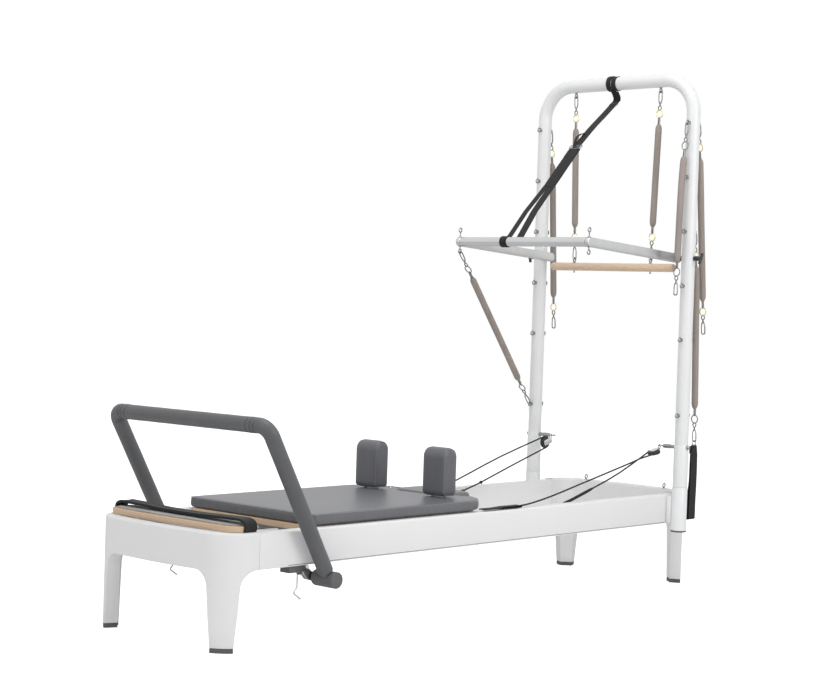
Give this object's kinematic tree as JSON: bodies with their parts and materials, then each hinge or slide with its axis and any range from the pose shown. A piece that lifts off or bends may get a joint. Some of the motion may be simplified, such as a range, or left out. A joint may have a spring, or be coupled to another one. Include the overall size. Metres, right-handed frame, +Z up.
{
  "type": "pilates tower unit",
  "caption": "Pilates reformer bed with a sliding padded carriage, footbar, spring tower, push-through bar, roll-down bar, pulleys, ropes and a standing platform.",
  "frame": {"origin": "centre of the footprint on the floor: the overall bounding box's bottom face centre", "axes": "+X along the bed from the foot end (footbar) to the head end (tower), +Y to the side away from the viewer, +Z up"},
  "size_m": [2.374, 0.8193, 1.9112],
  "materials": {
    "frame_moulding": "satin white moulded plastic",
    "rail_white": "white powder coat on an extrusion",
    "tower_white": "white powder coat",
    "foot_rubber": "dark non-slip",
    "carriage_metal": "dark powder coat on steel",
    "deck_board": "dark stained plywood",
    "vinyl": "matt grey vinyl",
    "wheel_urethane": "black urethane",
    "spring_steel": "bright wire",
    "spring_bar_metal": "white powder coat",
    "board_wood": "pale plywood",
    "mat_rubber": "black mat",
    "webbing": "black webbing",
    "rope": "black braid",
    "footbar_metal": "dark grey powder coat",
    "footbar_foam": "grey foam grip",
    "link_plastic": "grey moulded hinge link",
    "trolley_plastic": "black slider",
    "chrome_wire": "polished",
    "bar_aluminium": "satin silver",
    "knob_metal": "black",
    "pulley_plastic": "black sheave",
    "sleeve_fabric": "taupe sleeve",
    "roll_wood": "pale turned wood"
  },
  "bodies": {
    "base": {"foot_end_frame": "frame_moulding", "head_end_frame": "frame_moulding", "foot_pad_foot_near": "foot_rubber", "foot_pad_foot_far": "foot_rubber", "foot_pad_head_near": "foot_rubber", "foot_pad_head_far": "foot_rubber", "rail_near": "rail_white", "rail_far": "rail_white", "tower_socket_near": "tower_white", "tower_socket_far": "tower_white", "tower_tube": "tower_white", "spring_bar": "spring_bar_metal", "platform_board": "board_wood", "platform_mat": "mat_rubber", "platform_strap": "webbing", "carriage_spring_1": "spring_steel", "carriage_spring_2": "spring_steel", "carriage_spring_3": "spring_steel", "carriage_spring_4": "spring_steel", "rope_near": "rope", "rope_far": "rope", "spring_push_bar": "sleeve_fabric", "safety_strap": "webbing"},
    "carriage": {"carriage_frame": "carriage_metal", "carriage_deck": "deck_board", "carriage_pad": "vinyl"},
    "headrest": {"headrest": "vinyl"},
    "shoulder_rest_near": {"shoulder_rest_near": "vinyl"},
    "shoulder_rest_far": {"shoulder_rest_far": "vinyl"},
    "wheel_front_near": {"wheel_front_near": "wheel_urethane"},
    "wheel_front_far": {"wheel_front_far": "wheel_urethane"},
    "wheel_back_near": {"wheel_back_near": "wheel_urethane"},
    "wheel_back_far": {"wheel_back_far": "wheel_urethane"},
    "footbar_sliders": {"footbar_trolley_near": "trolley_plastic", "footbar_trolley_far": "trolley_plastic", "footbar_link_near": "link_plastic", "footbar_link_far": "link_plastic"},
    "footbar": {"footbar_tube": "footbar_metal", "footbar_grip_top": "footbar_foam", "footbar_grip_near": "footbar_foam", "footbar_grip_far": "footbar_foam"},
    "release_lever_near": {"release_lever_near": "chrome_wire"},
    "release_lever_far": {"release_lever_far": "chrome_wire"},
    "push_bar": {"ptb_cross_tube": "bar_aluminium", "ptb_arm_near": "bar_aluminium", "ptb_arm_far": "bar_aluminium"},
    "push_bar_lock_near": {"ptb_lock_near": "knob_metal"},
    "push_bar_lock_far": {"ptb_lock_far": "knob_metal"},
    "roll_down": {"roll_down_bar": "roll_wood", "roll_spring_near": "sleeve_fabric", "roll_spring_far": "sleeve_fabric"},
    "spring_far_back": {"spring_far_back": "sleeve_fabric"},
    "spring_near_back": {"spring_near_back": "sleeve_fabric"},
    "spring_near_front": {"spring_near_front": "sleeve_fabric"},
    "spring_near_low": {"spring_near_low": "sleeve_fabric"},
    "loop_strap": {"loop_strap": "webbing"},
    "pulley_block_near": {"pulley_block_near": "chrome_wire"},
    "pulley_block_far": {"pulley_block_far": "chrome_wire"},
    "pulley_wheel_near": {"pulley_wheel_near": "pulley_plastic"},
    "pulley_wheel_far": {"pulley_wheel_far": "pulley_plastic"}
  },
  "joints": [
    {"name": "carriage_slide", "type": "slide", "parent": "base", "child": "carriage", "axis": [1, 0, 0], "range_m": [0, 0.85], "deforming": ["carriage_spring_1", "carriage_spring_2", "carriage_spring_3", "carriage_spring_4", "rope_near", "rope_far"]},
    {"name": "headrest_lift", "type": "hinge", "parent": "carriage", "child": "headrest", "pos_m": [-0.048, 0, 0.345], "axis": [0, -1, 0], "range_deg": [0, 24]},
    {"name": "shoulder_rest_near_lift", "type": "slide", "parent": "carriage", "child": "shoulder_rest_near", "axis": [0, 0, 1], "range_m": [0, 0.045]},
    {"name": "shoulder_rest_far_lift", "type": "slide", "parent": "carriage", "child": "shoulder_rest_far", "axis": [0, 0, 1], "range_m": [0, 0.045]},
    {"name": "wheel_front_near_spin", "type": "hinge", "parent": "carriage", "child": "wheel_front_near", "pos_m": [-0.7, -0.256, 0.2743], "axis": [0, 1, 0], "continuous": true},
    {"name": "wheel_front_far_spin", "type": "hinge", "parent": "carriage", "child": "wheel_front_far", "pos_m": [-0.7, 0.256, 0.2743], "axis": [0, 1, 0], "continuous": true},
    {"name": "wheel_back_near_spin", "type": "hinge", "parent": "carriage", "child": "wheel_back_near", "pos_m": [-0.06, -0.256, 0.2743], "axis": [0, 1, 0], "continuous": true},
    {"name": "wheel_back_far_spin", "type": "hinge", "parent": "carriage", "child": "wheel_back_far", "pos_m": [-0.06, 0.256, 0.2743], "axis": [0, 1, 0], "continuous": true},
    {"name": "footbar_travel", "type": "slide", "parent": "base", "child": "footbar_sliders", "axis": [1, 0, 0], "range_m": [-0.06, 0.24]},
    {"name": "footbar_tilt", "type": "hinge", "parent": "footbar_sliders", "child": "footbar", "pos_m": [-0.797, 0, 0.194], "axis": [0, 1, 0], "range_deg": [-58, 32]},
    {"name": "release_lever_near_pull", "type": "hinge", "parent": "footbar_sliders", "child": "release_lever_near", "pos_m": [-0.863, -0.286, 0.2107], "axis": [0, 1, 0], "range_deg": [0, 25], "stiffness_Nm_per_rad": 0.05},
    {"name": "release_lever_far_pull", "type": "hinge", "parent": "footbar_sliders", "child": "release_lever_far", "pos_m": [-0.863, 0.286, 0.2107], "axis": [0, 1, 0], "range_deg": [0, 25], "stiffness_Nm_per_rad": 0.05},
    {"name": "push_bar_swing", "type": "hinge", "parent": "base", "child": "push_bar", "pos_m": [1.015, 0, 1.218], "axis": [0, 1, 0], "range_deg": [-60, 60], "deforming": ["spring_push_bar", "safety_strap"]},
    {"name": "push_bar_lock_near_turn", "type": "hinge", "parent": "base", "child": "push_bar_lock_near", "pos_m": [1.015, -0.349, 1.218], "axis": [0, 1, 0], "range_deg": [-90, 90]},
    {"name": "push_bar_lock_far_turn", "type": "hinge", "parent": "base", "child": "push_bar_lock_far", "pos_m": [1.015, 0.349, 1.218], "axis": [0, 1, 0], "range_deg": [-90, 90]},
    {"name": "roll_down_swing", "type": "hinge", "parent": "base", "child": "roll_down", "pos_m": [1.015, 0, 1.8429], "axis": [0, 1, 0], "range_deg": [-25, 30]},
    {"name": "spring_far_back_swing", "type": "hinge", "parent": "base", "child": "spring_far_back", "pos_m": [1.0521, 0.349, 1.708], "axis": [1, 0, 0], "range_deg": [-3, 20]},
    {"name": "spring_near_back_swing", "type": "hinge", "parent": "base", "child": "spring_near_back", "pos_m": [1.0521, -0.349, 1.708], "axis": [1, 0, 0], "range_deg": [-20, 3]},
    {"name": "spring_near_front_swing", "type": "hinge", "parent": "base", "child": "spring_near_front", "pos_m": [0.9779, -0.349, 1.708], "axis": [1, 0, 0], "range_deg": [-20, 2]},
    {"name": "spring_near_low_swing", "type": "hinge", "parent": "base", "child": "spring_near_low", "pos_m": [1.0521, -0.349, 1.309], "axis": [1, 0, 0], "range_deg": [-20, 0]},
    {"name": "loop_strap_swing", "type": "hinge", "parent": "spring_near_low", "child": "loop_strap", "pos_m": [1.0977, -0.349, 0.541], "axis": [1, 0, 0], "range_deg": [-20, 3]},
    {"name": "pulley_block_near_swivel", "type": "hinge", "parent": "base", "child": "pulley_block_near", "pos_m": [1.0045, -0.2581, 0.5215], "axis": [0, 1, 0], "range_deg": [-12, 12], "deforming": ["rope_near"]},
    {"name": "pulley_block_far_swivel", "type": "hinge", "parent": "base", "child": "pulley_block_far", "pos_m": [1.0045, 0.2581, 0.5215], "axis": [0, 1, 0], "range_deg": [-12, 12], "deforming": ["rope_far"]},
    {"name": "pulley_wheel_near_spin", "type": "hinge", "parent": "pulley_block_near", "child": "pulley_wheel_near", "pos_m": [0.9694, -0.2581, 0.4963], "axis": [0.225, 0, -0.9744], "continuous": true},
    {"name": "pulley_wheel_far_spin", "type": "hinge", "parent": "pulley_block_far", "child": "pulley_wheel_far", "pos_m": [0.9699, 0.2581, 0.4945], "axis": [0, 1, 0], "continuous": true}
  ],
  "couplings": [
    {"joint": "wheel_front_near_spin", "follows": "carriage_slide", "rad_per_m": 35.714},
    {"joint": "wheel_front_far_spin", "follows": "carriage_slide", "rad_per_m": 35.714},
    {"joint": "wheel_back_near_spin", "follows": "carriage_slide", "rad_per_m": 35.714},
    {"joint": "wheel_back_far_spin", "follows": "carriage_slide", "rad_per_m": 35.714},
    {"joint": "pulley_wheel_near_spin", "follows": "carriage_slide", "rad_per_m": 43.668},
    {"joint": "pulley_wheel_far_spin", "follows": "carriage_slide", "rad_per_m": 43.668}
  ]
}
